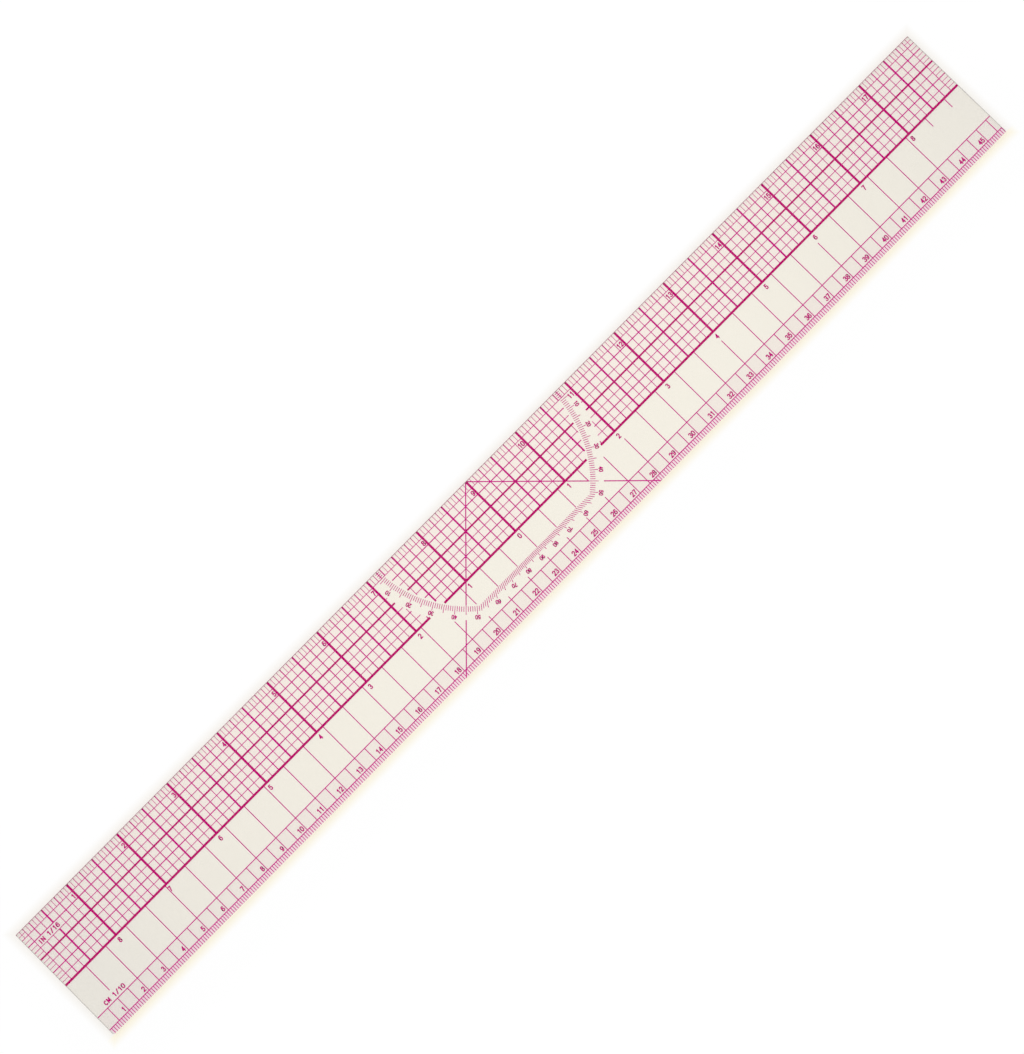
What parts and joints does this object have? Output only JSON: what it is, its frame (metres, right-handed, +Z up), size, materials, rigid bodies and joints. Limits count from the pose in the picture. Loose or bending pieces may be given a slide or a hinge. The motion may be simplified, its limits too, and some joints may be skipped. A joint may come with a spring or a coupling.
{
  "type": "grading ruler",
  "caption": "Clear flexible drafting ruler with an inch grid along one edge, a metric scale along the other and a protractor printed between clear plies.",
  "frame": {"origin": "middle of the underside, where the ruler rests", "axes": "+X along the ruler, the way the numbers grow; +Y to the inch edge; +Z up out of the reading face"},
  "size_m": [0.4572, 0.05, 0.0008],
  "materials": {
    "clear_vinyl": "clear flexible vinyl with a faint warm tint, smooth and softly glossy",
    "magenta_ink": "thin magenta screen ink, sealed between the plies"
  },
  "bodies": {
    "root": {"base_ply": "clear_vinyl", "cover_ply": "clear_vinyl", "sixteenth_ticks_left": "magenta_ink", "line_1_4_inch_left": "magenta_ink", "line_3_8_inch_left": "magenta_ink", "line_1_2_inch_left": "magenta_ink", "line_5_8_inch_left": "magenta_ink", "line_3_4_inch_left": "magenta_ink", "line_7_8_inch_left": "magenta_ink", "cross_lines_left": "magenta_ink", "sixteenth_ticks_centre": "magenta_ink", "line_1_4_inch_centre": "magenta_ink", "line_3_8_inch_centre": "magenta_ink", "line_1_2_inch_centre": "magenta_ink", "line_5_8_inch_centre": "magenta_ink", "line_3_4_inch_centre": "magenta_ink", "line_7_8_inch_centre": "magenta_ink", "cross_lines_centre": "magenta_ink", "sixteenth_ticks_right": "magenta_ink", "line_1_4_inch_right": "magenta_ink", "line_3_8_inch_right": "magenta_ink", "line_1_2_inch_right": "magenta_ink", "line_5_8_inch_right": "magenta_ink", "line_3_4_inch_right": "magenta_ink", "line_7_8_inch_right": "magenta_ink", "cross_lines_right": "magenta_ink", "end_ticks_left": "magenta_ink", "end_ticks_right": "magenta_ink", "short_cross_line_1": "magenta_ink", "short_cross_line_2": "magenta_ink", "short_cross_line_3": "magenta_ink", "short_cross_line_4": "magenta_ink", "millimetre_ticks": "magenta_ink", "metric_ladder": "magenta_ink", "angle_lines": "magenta_ink", "angle_line_foot_left": "magenta_ink", "angle_line_foot_right": "magenta_ink"}
  },
  "joints": []
}
